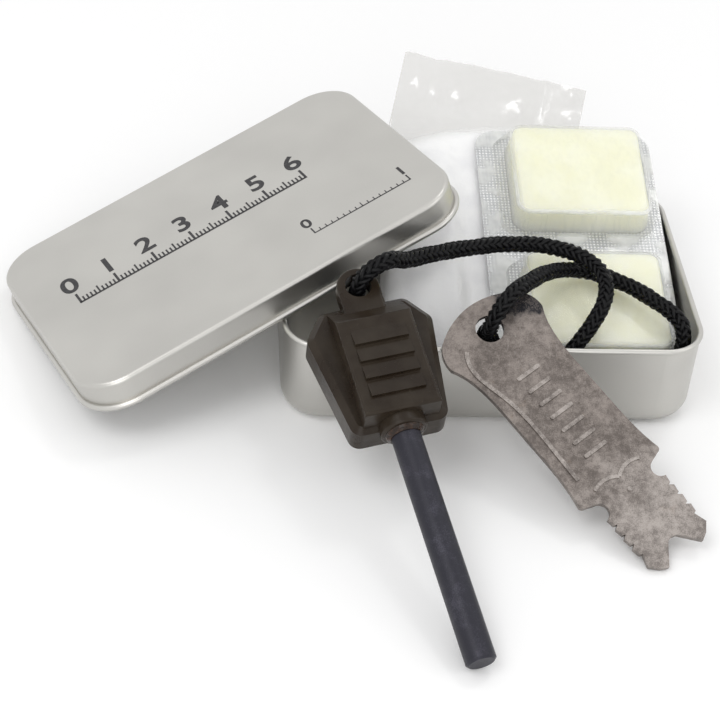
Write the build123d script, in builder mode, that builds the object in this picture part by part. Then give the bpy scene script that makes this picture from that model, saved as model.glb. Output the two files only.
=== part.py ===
from build123d import *
from math import asin, atan2, cos, degrees, hypot, pi, radians, sin, tan
import os

# Opened tinder tin with its contents: pressed tin and lid, a fire steel and a
# striker on one braided cord, a blister of two tinder blocks and a bag of cotton wool.
# All lengths are millimetres. The origin is the middle of the tin's underside, +Z is up,
# +X runs along the tin and -Y is the side where the steel and the striker lean out.

# General clearances
rest_gap = 0.3          # air left between loose pieces that rest on each other
floor_gap = 0.1         # air left under the points that lean on the table
bond_gap = 0.02         # play inside a glued or sealed joint
overrun = 1.0           # how far a cutting solid runs past the face it cuts

# Tin, a pressed tray with a rolled rim
tin_length = 95.0       # over the rolled rim
tin_width = 64.0
tin_height = 22.8
tin_corner = 9.7        # plan radius over the rim
tin_base_radius = 5.0   # between the wall and the base, outside
sheet = 0.45            # tin plate, with its lacquer
rim_dia = 1.3           # rolled rim
rim_step = 0.45         # how far the rim stands outside the wall

# Lid, a shallow cap with a rolled edge
lid_play = 0.15         # between the lid's skirt and the tin's rim when closed
lid_height = 7.25
lid_top_radius = 1.0
lid_curl_dia = 1.5
lid_turn = 24.4         # degrees, turned on the table against the tin
lid_centre_past_rim = 11.8  # from the lid's middle to the tin's left rim, along the lid
lid_centre_y = 8.2

# Fire steel, a moulded handle with a ferrocerium rod
rod_dia = 6.4
rod_length = 71.5
rod_tip_chamfer = 0.5
rod_play = 0.05         # bore in the handle, on the radius
handle_start = 54.0     # from the rod's tip to the handle's lower end
handle_top = 84.6       # from the rod's tip to the handle's upper end
handle_back = 6.5       # from the rod's axis to the back face
wing_front = 0.8        # from the rod's axis to the front of the wings
wing_low_half = 10.4
wing_high_half = 14.1
wing_bevel = 1.4
wing_shoulder_drop = 6.0
wing_top_half = 9.6
wing_foot_radius = 2.6
wing_shoulder_radius = 2.2
block_front = 6.3       # from the rod's axis to the front face of the block
block_half = 8.35
block_face_top = 77.8
block_foot = 1.0        # the block starts this far above the handle's lower end
block_edge_radius = 0.7
eye_centre = 88.3       # from the rod's tip
eye_hole_dia = 5.8
eye_outer_dia = 9.4
eye_half_thick = 2.2
eye_edge_radius = 0.8
rib_count = 4
rib_pitch = 4.2
rib_first = 58.8        # lowest rib, from the rod's tip
rib_half = 5.9
rib_rise = 0.75
rib_ramp = 3.7
collar_dia = 10.2
collar_length = 1.6
collar_radius = 0.6
bead_length = 1.0       # glue that shows round the rod
bead_dia = 8.6
steel_reach = 75.5      # from the front rim down the slope to the rod's tip
steel_turn = -14.0      # degrees, of the rod from straight down the slope
steel_tip_x = -10.1

# Striker, a stamped steel plate
striker_thick = 1.4
striker_hole_dia = 6.4
striker_top = 6.9       # above the hole's centre, on the centre line
head_side = 9.4
head_side_drop = 2.7
head_half = 13.1
head_half_drop = 9.6
waist_half = 10.4
waist_drop = 30.0
shoulder_half = 11.6
shoulder_drop = 50.4
shoulder_round = 0.9
blade_root_half = 8.0
blade_root_drop = 51.6
neck_half = 6.6
neck_drop = 53.4
tooth_half = 8.4
tooth_depth = 0.9
tooth_pitch = 2.7
tooth_count = 4
tooth_start_drop = 55.6
prong_side_drop = 68.5
prong_end_drop = 71.3
prong_outer = 6.6
prong_inner = 4.9
fork_half = 1.2
fork_depth = 4.4
edge_lean_shares = (0.6, 0.25)  # sideways run of the waist's edge at its upper and lower end
emboss_rise = 0.3       # height of everything pressed up out of the plate
ridge_width = 0.9
# Places of the pressed ridge, of the head and the shoulder
ridge_shares = [(0.6, 0.03), (0.73, 0.16), (0.68, 0.25), (0.6, 0.36), (0.56, 0.62), (0.59, 0.88)]
bar_length = 6.2        # plain bars along the middle
bar_width = 0.9
bar_pitch = 3.7
bar_count = 7
bar_first = 13.0        # from the hole's centre down to the first bar
dot_dia = 1.1
dot_drop = 46.4         # from the hole's centre
crescent_width = 0.8
crescent_drop = 42.3    # from the hole's centre
crescent_half = 6.4
crescent_bow = 1.3
hole_past_rim = 4.06    # from the front rim up the slope to the striker's hole
striker_turn = 37.2     # degrees, from straight down the slope
striker_hole_x = -2.16

# Blister, a clear tray on a foil backing, with two blocks of tinder
rest_slope = 15.5       # degrees, of the blister and the bag over the rear rim
blister_width = 43.6
blister_side_gap = 0.6  # from its right edge to the tin's right rim
blister_front = 7.4     # from the front rim up the slope to its front edge
blister_length = 72.9
blister_corner = 5.0
foil_thick = 0.2
tray_thick = 0.3
pocket_rise = 7.6
pocket_draft = 2.1      # how much wider three sides are at the foot
pocket_left_draft = 3.7
pocket_edge_radius = 1.1
pocket_corner = 4.5     # at the foot
pocket_top_corner = 3.0
pocket_right = 1.9      # flange beside the pockets
pocket_left = 3.9       # and at their other side
pocket_rear_flange = 2.0
pocket_front_flange = 0.65
pocket_between = 7.45   # flange between the two pockets
block_gap = 0.15        # between a tinder block and the tray, above and below it
block_side_gap = 0.35
block_draft = 1.2

# Bag, a clear film pouch of cotton wool with a flat header
film_thick = 0.35
header_thick = 0.7
bag_width = 40.0        # at its closed end in the tin
bag_rear_width = 48.0   # where it passes the blister's rear edge
bag_end_x = -7.0        # middle of the closed end
bag_rear_x = 4.4        # middle where it passes the blister's rear edge
bag_front = 8.6         # from the front rim up the slope to the closed end
bag_pinch = 2.6         # thickness under the blister
bag_swell = 4.4         # how much higher its loose side stands beside the blister
bag_floor_gap = 1.55    # from the tin's floor to its lowest point
bag_blister_gap = 3.2   # from the blister's edge to where the bag swells
header_rise = 1.5       # from the slope to the flat film past the blister
header_left_x = -13.4
header_left_length = 27.5
header_right_x = 32.4
header_right_length = 15.6
wool_gap = 0.3

# Cord
cord_dia = 4.0
knot_dia = 6.8
knot_gap = 0.7          # between a knot and the hole it stops in


def lean_angle(reach, lift, drop):
    """Slope in degrees of a plane that passes lift above a point drop above the
    floor and meets the floor reach away, measured along the plane."""
    return degrees(asin(drop / hypot(reach, lift)) + atan2(lift, reach))


def rounded_outline(length, width, corner, plane):
    """Closed rounded outline that a round rim is swept along."""
    return (plane * RectangleRounded(length, width, corner)).wire()


os.makedirs("parts", exist_ok=True)
nodes = []


def keep(builder, name):
    """Labels a finished piece and writes it to its own file."""
    builder.part.label = name
    export_step(builder.part, "parts/" + name + ".step")
    nodes.append(name)


# Tin body
rim_radius = rim_dia / 2
rim_height = tin_height - rim_radius
wall_length = tin_length - 2 * rim_step
wall_width = tin_width - 2 * rim_step
rim_path = rounded_outline(
    tin_length - rim_dia, tin_width - rim_dia, tin_corner - rim_radius, Plane.XY.offset(rim_height)
)
with BuildPart() as tin_body:
    with BuildSketch(Plane.XY):
        RectangleRounded(wall_length, wall_width, tin_corner - rim_step)
    extrude(amount=rim_height)
    fillet(tin_body.faces().sort_by(Axis.Z)[0].edges(), radius=tin_base_radius)
    offset(amount=-sheet, openings=tin_body.faces().sort_by(Axis.Z)[-1])
    with BuildSketch(Plane(origin=rim_path @ 0, z_dir=rim_path % 0)):
        Circle(rim_radius)
    sweep(path=rim_path)
keep(tin_body, "tin_body")

# Lid, leaning on the tin's left rim with one corner on the table
lid_length = tin_length + 2 * lid_play + 2 * sheet
lid_width = tin_width + 2 * lid_play + 2 * sheet
lid_corner = tin_corner + lid_play + sheet
curl_radius = lid_curl_dia / 2
curl_length = lid_length - 2 * sheet + lid_curl_dia
curl_width = lid_width - 2 * sheet + lid_curl_dia
curl_corner = lid_corner - sheet + curl_radius
lid_reach = (
    (curl_length / 2 - curl_corner) * cos(radians(lid_turn))
    + (curl_width / 2 - curl_corner) * sin(radians(lid_turn))
    + curl_corner
    + curl_radius
)
lid_lift = rim_radius + rest_gap
lid_slope = lean_angle(lid_reach + lid_centre_past_rim, lid_lift, rim_height - floor_gap)
lid_up = Vector(-sin(radians(lid_slope)), 0, cos(radians(lid_slope)))
lid_rise = Vector(cos(radians(lid_slope)), 0, sin(radians(lid_slope)))
lid_rim_point = Vector(-tin_length / 2 + rim_radius, lid_centre_y, rim_height) + lid_up * lid_lift
lid_plane = Plane(
    origin=lid_rim_point - lid_rise * lid_centre_past_rim,
    x_dir=lid_rise * cos(radians(lid_turn)) + Vector(0, sin(radians(lid_turn)), 0),
    z_dir=lid_up,
)
lid_axis = Axis(lid_plane.origin, lid_plane.z_dir)
curl_path = rounded_outline(curl_length, curl_width, curl_corner, lid_plane.offset(curl_radius))
with BuildPart() as tin_lid:
    with BuildSketch(lid_plane.offset(curl_radius)):
        RectangleRounded(lid_length, lid_width, lid_corner)
    extrude(amount=lid_height - curl_radius)
    fillet(tin_lid.faces().sort_by(lid_axis)[-1].edges(), radius=lid_top_radius)
    offset(amount=-sheet, openings=tin_lid.faces().sort_by(lid_axis)[0])
    with BuildSketch(Plane(origin=curl_path @ 0, z_dir=curl_path % 0)):
        Circle(curl_radius)
    sweep(path=curl_path)
keep(tin_lid, "tin_lid")

# Fire steel, leaning on the front rim with the rod's tip on the table
rod_radius = rod_dia / 2
steel_lift = rim_radius + rest_gap + handle_back
steel_slope = lean_angle(steel_reach, steel_lift - rod_radius, rim_height - floor_gap)
steel_up = Vector(0, -sin(radians(steel_slope)), cos(radians(steel_slope)))
steel_rise = Vector(0, cos(radians(steel_slope)), sin(radians(steel_slope)))
front_rim = Vector(0, -tin_width / 2 + rim_radius, rim_height)
steel_across = Vector(cos(radians(steel_turn)), 0, 0) - steel_rise * sin(radians(steel_turn))
steel_plane = Plane(
    origin=front_rim + Vector(steel_tip_x, 0, 0) + steel_up * steel_lift - steel_rise * steel_reach,
    x_dir=steel_across,
    z_dir=steel_up,
)
rod_plane = Plane(origin=steel_plane.origin, x_dir=steel_plane.x_dir, z_dir=steel_plane.y_dir)
side_plane = Plane(origin=steel_plane.origin, x_dir=steel_plane.y_dir, z_dir=steel_plane.x_dir)
rod_axis = Axis(rod_plane.origin, rod_plane.z_dir)
steel_axis = Axis(steel_plane.origin, steel_plane.z_dir)
eye_radius = eye_outer_dia / 2
shoulder_start = handle_top - wing_shoulder_drop
bore_radius = rod_radius + rod_play


def eye_solid():
    """The handle's eye with its foot in the block, its edges rounded."""
    with BuildPart() as eye:
        with BuildSketch(steel_plane.offset(-eye_half_thick)):
            with Locations((0, eye_centre)):
                Circle(eye_radius)
            with Locations((0, (eye_centre + block_face_top) / 2)):
                Rectangle(eye_outer_dia, eye_centre - block_face_top)
        extrude(amount=2 * eye_half_thick)
        fillet(eye.faces().sort_by(steel_axis)[-1].edges(), radius=eye_edge_radius)
        fillet(eye.faces().sort_by(steel_axis)[0].edges(), radius=eye_edge_radius)
    return eye.part


with BuildPart() as handle:
    with BuildSketch(steel_plane.offset(-handle_back)):
        with BuildLine():
            Polyline(
                (-wing_low_half, handle_start),
                (wing_low_half, handle_start),
                (wing_high_half, shoulder_start),
                (wing_top_half, handle_top),
                (-wing_top_half, handle_top),
                (-wing_high_half, shoulder_start),
                close=True,
            )
        make_face()
    extrude(amount=handle_back + wing_front)
    fillet(handle.edges().filter_by(steel_axis).sort_by(rod_axis)[:2], radius=wing_foot_radius)
    fillet(handle.edges().filter_by(steel_axis).sort_by(rod_axis)[-4:], radius=wing_shoulder_radius)
    chamfer(handle.faces().sort_by(steel_axis)[-1].edges(), length=wing_bevel)
    with BuildSketch(side_plane):
        with BuildLine():
            Polyline(
                (handle_start + block_foot, 0),
                (handle_start + block_foot, block_front),
                (block_face_top, block_front),
                (handle_top - wing_bevel, wing_front),
                (handle_top - wing_bevel, 0),
                close=True,
            )
        make_face()
    extrude(amount=block_half, both=True)
    fillet(handle.faces().sort_by(steel_axis)[-1].edges(), radius=block_edge_radius)
    for rib in range(rib_count):
        rib_place = rib_first + rib * rib_pitch
        with BuildSketch(side_plane):
            with BuildLine():
                Polyline(
                    (rib_place, block_front - rib_rise),
                    (rib_place, block_front + rib_rise),
                    (rib_place + rib_ramp, block_front),
                    (rib_place + rib_ramp, block_front - rib_rise),
                    close=True,
                )
            make_face()
        extrude(amount=rib_half, both=True)
    add(eye_solid())
    with BuildSketch(steel_plane.offset(-eye_half_thick - overrun)):
        with Locations((0, eye_centre)):
            Circle(eye_hole_dia / 2)
    extrude(amount=2 * eye_half_thick + 2 * overrun, mode=Mode.SUBTRACT)
    with BuildSketch(rod_plane.offset(handle_start - collar_length)):
        Circle(collar_dia / 2)
    extrude(amount=collar_length + block_foot)
    fillet(handle.edges().sort_by(rod_axis)[0], radius=collar_radius)
    with BuildSketch(rod_plane.offset(handle_start - collar_length - overrun)):
        Circle(bore_radius)
    extrude(amount=rod_length - handle_start + collar_length + overrun + rest_gap, mode=Mode.SUBTRACT)
keep(handle, "handle")

with BuildPart() as ferro_rod:
    with BuildSketch(rod_plane):
        Circle(rod_radius)
    extrude(amount=rod_length)
    chamfer(ferro_rod.faces().sort_by(rod_axis)[0].edges(), length=rod_tip_chamfer)
keep(ferro_rod, "ferro_rod")

# Glue that has crept out round the rod, a cone against the collar
bead_end = handle_start - collar_length - bond_gap
with BuildPart() as rod_adhesive:
    with BuildSketch(side_plane):
        with BuildLine():
            Polyline(
                (bead_end, rod_radius + bond_gap),
                (bead_end, bead_dia / 2),
                (bead_end - bead_length / 2, bead_dia / 2 - bead_length / 4),
                (bead_end - bead_length, rod_radius + bead_length / 4),
                (bead_end - bead_length, rod_radius + bond_gap),
                close=True,
            )
        make_face()
    revolve(axis=rod_axis)
keep(rod_adhesive, "rod_adhesive")

# Striker, leaning on the front rim with one prong on the table
striker_lift = rim_radius + rest_gap
prong_reach = prong_end_drop - striker_top
striker_reach = (
    prong_reach * cos(radians(striker_turn))
    + (prong_outer + prong_inner) / 2 * sin(radians(striker_turn))
    - hole_past_rim
)
striker_slope = lean_angle(striker_reach, striker_lift, rim_height - floor_gap)
striker_up = Vector(0, -sin(radians(striker_slope)), cos(radians(striker_slope)))
striker_rise = Vector(0, cos(radians(striker_slope)), sin(radians(striker_slope)))
striker_across = Vector(cos(radians(striker_turn)), 0, 0) + striker_rise * sin(radians(striker_turn))
striker_plane = Plane(
    origin=front_rim + Vector(striker_hole_x, 0, 0) + striker_up * striker_lift
    + striker_rise * hole_past_rim,
    x_dir=striker_across,
    z_dir=striker_up,
)


def drop(half, below_top):
    """A point of the striker, by its distance from the centre line and below the top."""
    return (half, striker_top - below_top)


ridge_points = [
    (-across * head_half, -along * (shoulder_drop - striker_top)) for across, along in ridge_shares
]
head_turn_drop = (head_side_drop + head_half_drop) / 2 - tooth_depth
teeth = []
for tooth in range(tooth_count):
    tooth_top = tooth_start_drop + tooth * tooth_pitch
    teeth.append((tooth_half, tooth_top))
    teeth.append((tooth_half - tooth_depth / 3, tooth_top + tooth_pitch * 2 / 3))
    teeth.append((tooth_half - tooth_depth, tooth_top + tooth_pitch * 3 / 4))
with BuildPart() as striker:
    with BuildSketch(striker_plane):
        for side in (-1, 1):
            with BuildLine():
                ThreePointArc(
                    drop(0, 0),
                    drop(side * head_side / 2, head_side_drop / 4),
                    drop(side * head_side, head_side_drop),
                )
                ThreePointArc(
                    drop(side * head_side, head_side_drop),
                    drop(side * (head_half - tooth_depth), head_turn_drop),
                    drop(side * head_half, head_half_drop),
                )
                Spline(
                    drop(side * head_half, head_half_drop),
                    drop(side * waist_half, waist_drop),
                    drop(side * shoulder_half, shoulder_drop),
                    tangents=((-side * edge_lean_shares[0], -1), (side * edge_lean_shares[1], -1)),
                )
                Polyline(
                    drop(side * shoulder_half, shoulder_drop), drop(side * blade_root_half, blade_root_drop)
                )
                ThreePointArc(
                    drop(side * blade_root_half, blade_root_drop),
                    drop(side * neck_half, neck_drop),
                    drop(side * tooth_half, tooth_start_drop),
                )
                Polyline(
                    *[drop(side * half, below) for half, below in teeth],
                    drop(side * tooth_half, prong_side_drop),
                    drop(side * prong_outer, prong_end_drop - tooth_depth),
                    drop(side * prong_inner, prong_end_drop),
                    drop(side * fork_half, prong_end_drop - fork_depth),
                    drop(0, prong_end_drop - fork_depth - tooth_depth / 3),
                    drop(0, 0),
                )
            make_face()
        Circle(striker_hole_dia / 2, mode=Mode.SUBTRACT)
    extrude(amount=striker_thick)
    for side in (-1, 1):
        shoulder = striker_plane.from_local_coords(Vector(*drop(side * shoulder_half, shoulder_drop)))
        upright_edges = striker.edges().filter_by(Axis(striker_plane.origin, striker_plane.z_dir))
        fillet(upright_edges.sort_by_distance(shoulder)[0], radius=shoulder_round)
    with BuildSketch(striker_plane.offset(striker_thick - emboss_rise)):
        with BuildLine():
            Spline(*ridge_points)
        trace(line_width=ridge_width)
        for side in (-1, 1):
            with BuildLine():
                ThreePointArc(
                    (0, -crescent_drop - crescent_bow / 2),
                    (side * crescent_half / 2, -crescent_drop + crescent_bow / 2),
                    (side * crescent_half, -crescent_drop),
                )
            trace(line_width=crescent_width)
        with Locations(*[(0, -bar_first - bar * bar_pitch) for bar in range(bar_count)]):
            RectangleRounded(bar_length, bar_width, bar_width * 0.45)
        with Locations((0, -dot_drop)):
            Circle(dot_dia / 2)
    extrude(amount=2 * emboss_rise)
keep(striker, "striker")

# Blister, lying on the bag and over the rear rim
rear_rim = Vector(0, tin_width / 2 - rim_radius, rim_height)
slope_up = Vector(0, -sin(radians(rest_slope)), cos(radians(rest_slope)))
slope_plane = Plane(origin=rear_rim + slope_up * (rim_radius + rest_gap), x_dir=(1, 0, 0), z_dir=slope_up)
slope_axis = Axis(slope_plane.origin, slope_plane.z_dir)
foil_plane = slope_plane.offset(bag_pinch + rest_gap)
tray_plane = foil_plane.offset(foil_thick + bond_gap)
slope_length = (tin_width - rim_dia) / cos(radians(rest_slope))
blister_left = tin_length / 2 - rim_dia - blister_side_gap - blister_width
blister_rear = blister_length + blister_front - slope_length
blister_x = blister_left + blister_width / 2
blister_y = blister_rear - blister_length / 2
pocket_top_width = blister_width - pocket_left - pocket_left_draft - pocket_right - pocket_draft
pocket_flanges = pocket_rear_flange + pocket_between + pocket_front_flange
pocket_top_length = (blister_length - pocket_flanges) / 2 - 2 * pocket_draft
pocket_pitch = pocket_top_length + 2 * pocket_draft + pocket_between
pocket_x = blister_left + blister_width - pocket_right - pocket_draft - pocket_top_width / 2
pocket_rear_y = blister_rear - pocket_rear_flange - pocket_draft - pocket_top_length / 2
pocket_front_y = pocket_rear_y - pocket_pitch


def pocket_solid(pocket_y, side_draft, left_draft, inset, height):
    """A block with drafted sides and rounded top edges, inset all round from the pocket."""
    top_spread = 1 - height / pocket_rise
    with BuildPart() as pocket:
        for level, spread, corner in ((0, 1, pocket_corner), (height, top_spread, pocket_top_corner)):
            with BuildSketch(tray_plane.offset(level)):
                with Locations((pocket_x + (side_draft - left_draft) * spread / 2, pocket_y)):
                    RectangleRounded(
                        pocket_top_width + (side_draft + left_draft) * spread - 2 * inset,
                        pocket_top_length + 2 * side_draft * spread - 2 * inset,
                        corner - inset,
                    )
        loft()
        fillet(pocket.faces().sort_by(slope_axis)[-1].edges(), radius=pocket_edge_radius - inset / 2)
    return pocket.part


with BuildPart() as foil_backing:
    with BuildSketch(foil_plane):
        with Locations((blister_x, blister_y)):
            RectangleRounded(blister_width, blister_length, blister_corner)
    extrude(amount=foil_thick)
keep(foil_backing, "foil_backing")

with BuildPart() as blister_tray:
    with BuildSketch(tray_plane):
        with Locations((blister_x, blister_y)):
            RectangleRounded(blister_width, blister_length, blister_corner)
    extrude(amount=tray_thick)
    add(pocket_solid(pocket_rear_y, pocket_draft, pocket_left_draft, 0, pocket_rise))
    add(pocket_solid(pocket_front_y, pocket_draft, pocket_left_draft, 0, pocket_rise))
    for pocket_y in (pocket_rear_y, pocket_front_y):
        inner_height = pocket_rise - tray_thick
        hollow = pocket_solid(pocket_y, pocket_draft, pocket_left_draft, tray_thick, inner_height)
        add(hollow, mode=Mode.SUBTRACT)
keep(blister_tray, "blister_tray")

block_inset = tray_thick + block_side_gap
block_lift = Location(slope_up * block_gap)
block_height = pocket_rise - tray_thick - 2 * block_gap
with BuildPart() as tinder_block_rear:
    rear_block = pocket_solid(pocket_rear_y, block_draft, block_draft, block_inset, block_height)
    add(rear_block.moved(block_lift))
keep(tinder_block_rear, "tinder_block_rear")

with BuildPart() as tinder_block_front:
    front_block = pocket_solid(pocket_front_y, block_draft, block_draft, block_inset, block_height)
    add(front_block.moved(block_lift))
keep(tinder_block_front, "tinder_block_front")

# Bag, drawn up out of the tin over the rear rim. Each row of shares is a station's place
# along the bag, then its shares of the bag's depth, of the pinch that its underside rises
# by, and of its swelling.
bag_shares = [
    (0.0, 0.8, 0.0, 0.05),
    (0.07, 1.0, 0.0, 0.5),
    (0.3, 0.72, 0.0, 1.0),
    (0.56, 0.02, 0.0, 0.9),
    (0.7, 0.0, 0.0, 0.6),
    (0.9, 0.0, 0.18, 0.2),
    (1.0, 0.0, 0.41, 0.05),
]
bag_end_drop = slope_length - bag_front
bag_run = bag_end_drop + blister_rear + rest_gap
bag_low_place = bag_shares[1][0] * bag_run - bag_end_drop
bag_low_height = slope_plane.origin.Z + bag_low_place * sin(radians(rest_slope))
bag_depth = (bag_low_height - sheet - bag_floor_gap) / cos(radians(rest_slope))


def bag_station(along, depth, lift, swelling, inset):
    """Plane and points of the bag's cross section at one station, inset all round."""
    half = (bag_width + along * (bag_rear_width - bag_width)) / 2
    middle = bag_end_x + along * (bag_rear_x - bag_end_x)
    low = lift * bag_pinch - depth * bag_depth + inset
    pinch = bag_pinch - inset
    top = pinch + swelling * bag_swell
    waist = (low + pinch) / 2
    swell_x = blister_left - bag_blister_gap
    points = [
        (middle - half + inset, -waist),
        (middle - half + bag_pinch, -low),
        (middle + half - bag_pinch, -low),
        (middle + half - inset, -waist),
        (middle + half - bag_pinch, -pinch),
        (swell_x, -pinch),
        (swell_x - bag_pinch, -top),
        (middle - half + bag_pinch, -top),
    ]
    place = inset - bag_end_drop + along * (bag_run - 2 * inset)
    plane = Plane(
        origin=slope_plane.origin + slope_plane.y_dir * place,
        x_dir=slope_plane.x_dir,
        z_dir=slope_plane.y_dir,
    )
    return plane, points


header_start = blister_rear + rest_gap
with BuildPart() as bag_film:
    for along, depth, lift, swelling in bag_shares:
        station_plane, station_points = bag_station(along, depth, lift, swelling, 0)
        with BuildSketch(station_plane):
            with BuildLine():
                Polyline(*station_points, close=True)
            make_face()
    loft(ruled=True)
    for along, depth, lift, swelling in bag_shares:
        station_plane, station_points = bag_station(along, depth, lift, swelling, film_thick)
        with BuildSketch(station_plane):
            with BuildLine():
                Polyline(*station_points, close=True)
            make_face()
    loft(ruled=True, mode=Mode.SUBTRACT)
    with BuildSketch(slope_plane.offset(header_rise)):
        with BuildLine():
            Polyline(
                (bag_rear_x - bag_rear_width / 2 + bag_pinch, header_start - film_thick),
                (bag_rear_x + bag_rear_width / 2 - bag_pinch, header_start - film_thick),
                (header_right_x, header_start + header_right_length),
                (header_left_x, header_start + header_left_length),
                close=True,
            )
        make_face()
    extrude(amount=header_thick)
keep(bag_film, "bag_film")

with BuildPart() as cotton_wool:
    for along, depth, lift, swelling in bag_shares:
        station_plane, station_points = bag_station(along, depth, lift, swelling, film_thick + wool_gap)
        with BuildSketch(station_plane):
            with BuildLine():
                Polyline(*station_points, close=True)
            make_face()
    loft(ruled=True)
keep(cotton_wool, "cotton_wool")

# Knots, each a ball of cord with the short stretch that fills its hole
def knot_depth(half_thick):
    """From the middle of a plate to the middle of the knot behind it."""
    return half_thick + knot_gap + knot_dia / 2


# Cord, from the fire steel's eye over the blister, down into the tin in front of it, up
# at the tin's right corner and back over itself to the striker's hole. These are the
# corners of its route, which start and end inside the two holes.
cord_route = [
    (-31.5, -24.4, 32.7),
    (-31.5, -25.4, 35.4),
    (-29.9, -25.4, 38.2),
    (-27.2, -24.3, 40.0),
    (-24.1, -22.2, 39.9),
    (-21.3, -19.4, 37.2),
    (-14.6, -13.6, 35.0),
    (-6.8, -8.6, 33.0),
    (1.6, -4.9, 31.7),
    (9.6, -3.7, 31.1),
    (16.2, -5.0, 31.0),
    (21.4, -8.3, 31.0),
    (25.1, -13.2, 30.3),
    (25.5, -18.9, 28.0),
    (21.6, -24.4, 23.8),
    (17.2, -27.3, 19.0),
    (14.6, -28.0, 13.8),
    (15.6, -28.1, 8.8),
    (19.8, -28.1, 5.8),
    (26.0, -28.1, 5.2),
    (32.2, -28.1, 6.9),
    (37.2, -27.9, 10.2),
    (40.9, -27.5, 14.8),
    (43.2, -25.4, 19.4),
    (42.8, -22.1, 23.3),
    (39.2, -18.3, 24.7),
    (34.0, -13.2, 25.4),
    (28.2, -9.2, 25.9),
    (21.9, -7.0, 26.3),
    (16.4, -8.9, 27.8),
    (12.6, -12.6, 29.8),
    (9.1, -17.3, 31.9),
    (5.6, -22.1, 33.3),
    (3.0, -25.6, 34.4),
    (0.7, -28.3, 33.4),
    (-1.2, -29.8, 31.0),
    (-2.2, -29.6, 27.8),
    (-2.2, -28.4, 25.3),
]
route_points = [Vector(*place) for place in cord_route]
route_runs = [(after - before).length for before, after in zip(route_points, route_points[1:])]
route_radii = []
for corner in range(1, len(route_points) - 1):
    turn = (route_points[corner] - route_points[corner - 1]).get_angle(
        route_points[corner + 1] - route_points[corner]
    )
    shorter = min(route_runs[corner - 1], route_runs[corner])
    route_radii.append(0.45 * shorter / tan(radians(turn) / 2))
with BuildLine() as cord_line:
    FilletPolyline(*route_points, radius=route_radii)
cord_path = cord_line.wires()[0]
cord_start = Plane(origin=cord_path @ 0, z_dir=cord_path % 0)
cord_end = Plane(origin=cord_path @ 1, z_dir=-(cord_path % 1))
with BuildPart() as cord:
    with BuildSketch(cord_start):
        Circle(cord_dia / 2)
    sweep(path=cord_path)
keep(cord, "cord")
cord_length = cord_path.length
print("cord radii", [round(radius, 1) for radius in route_radii])
print("cord length", round(cord_length, 1), "smallest radius", round(min(route_radii), 2))
print("tube volume over section times length", cord.part.volume / (pi * cord_dia**2 / 4 * cord_length))


def knot_solid(end_plane, depth):
    """A ball of cord behind a hole, with its stub from the cord's end face to the ball."""
    with BuildPart() as knot:
        with BuildSketch(end_plane):
            Circle(cord_dia / 2)
        extrude(amount=-depth)
        with Locations(end_plane.origin - end_plane.z_dir * depth):
            Sphere(knot_dia / 2)
    return knot.part


with BuildPart() as knot_at_steel:
    add(knot_solid(cord_start, knot_depth(eye_half_thick)))
keep(knot_at_steel, "knot_at_steel")
with BuildPart() as knot_at_striker:
    add(knot_solid(cord_end, knot_depth(striker_thick / 2)))
keep(knot_at_striker, "knot_at_striker")
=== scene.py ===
"""Opened tinder tin with its contents, dressed for rendering.

Units are metres. The row frame has its origin under the middle of the tin, +Z up, +X along
the tin and -Y towards the side where the fire steel and the striker lean out.
"""

import logging
import math
from dataclasses import dataclass
from enum import Enum

import bmesh
import bpy
from mathutils import Matrix, Vector, noise


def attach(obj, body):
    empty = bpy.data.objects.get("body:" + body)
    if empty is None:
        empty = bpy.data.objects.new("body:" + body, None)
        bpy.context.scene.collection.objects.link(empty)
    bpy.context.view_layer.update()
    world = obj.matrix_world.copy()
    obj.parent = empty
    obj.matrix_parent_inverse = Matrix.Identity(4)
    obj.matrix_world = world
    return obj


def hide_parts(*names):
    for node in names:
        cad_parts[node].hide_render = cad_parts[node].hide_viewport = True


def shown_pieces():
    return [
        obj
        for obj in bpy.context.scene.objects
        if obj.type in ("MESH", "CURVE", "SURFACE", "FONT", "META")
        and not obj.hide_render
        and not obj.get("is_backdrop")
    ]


log = logging.getLogger("tinder_box")

Point = tuple[float, float, float]
Colour = tuple[float, float, float, float]
Span = tuple[float, float]

SIDEWAYS: Point = (1.0, 0.0, 0.0)
SLOPE_RISE: Point = (0.0, 0.963630, 0.267238)
SLOPE_UP: Point = (0.0, -0.267238, 0.963630)

CORD_ORDER = 3
CORD_STEPS = 24

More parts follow.
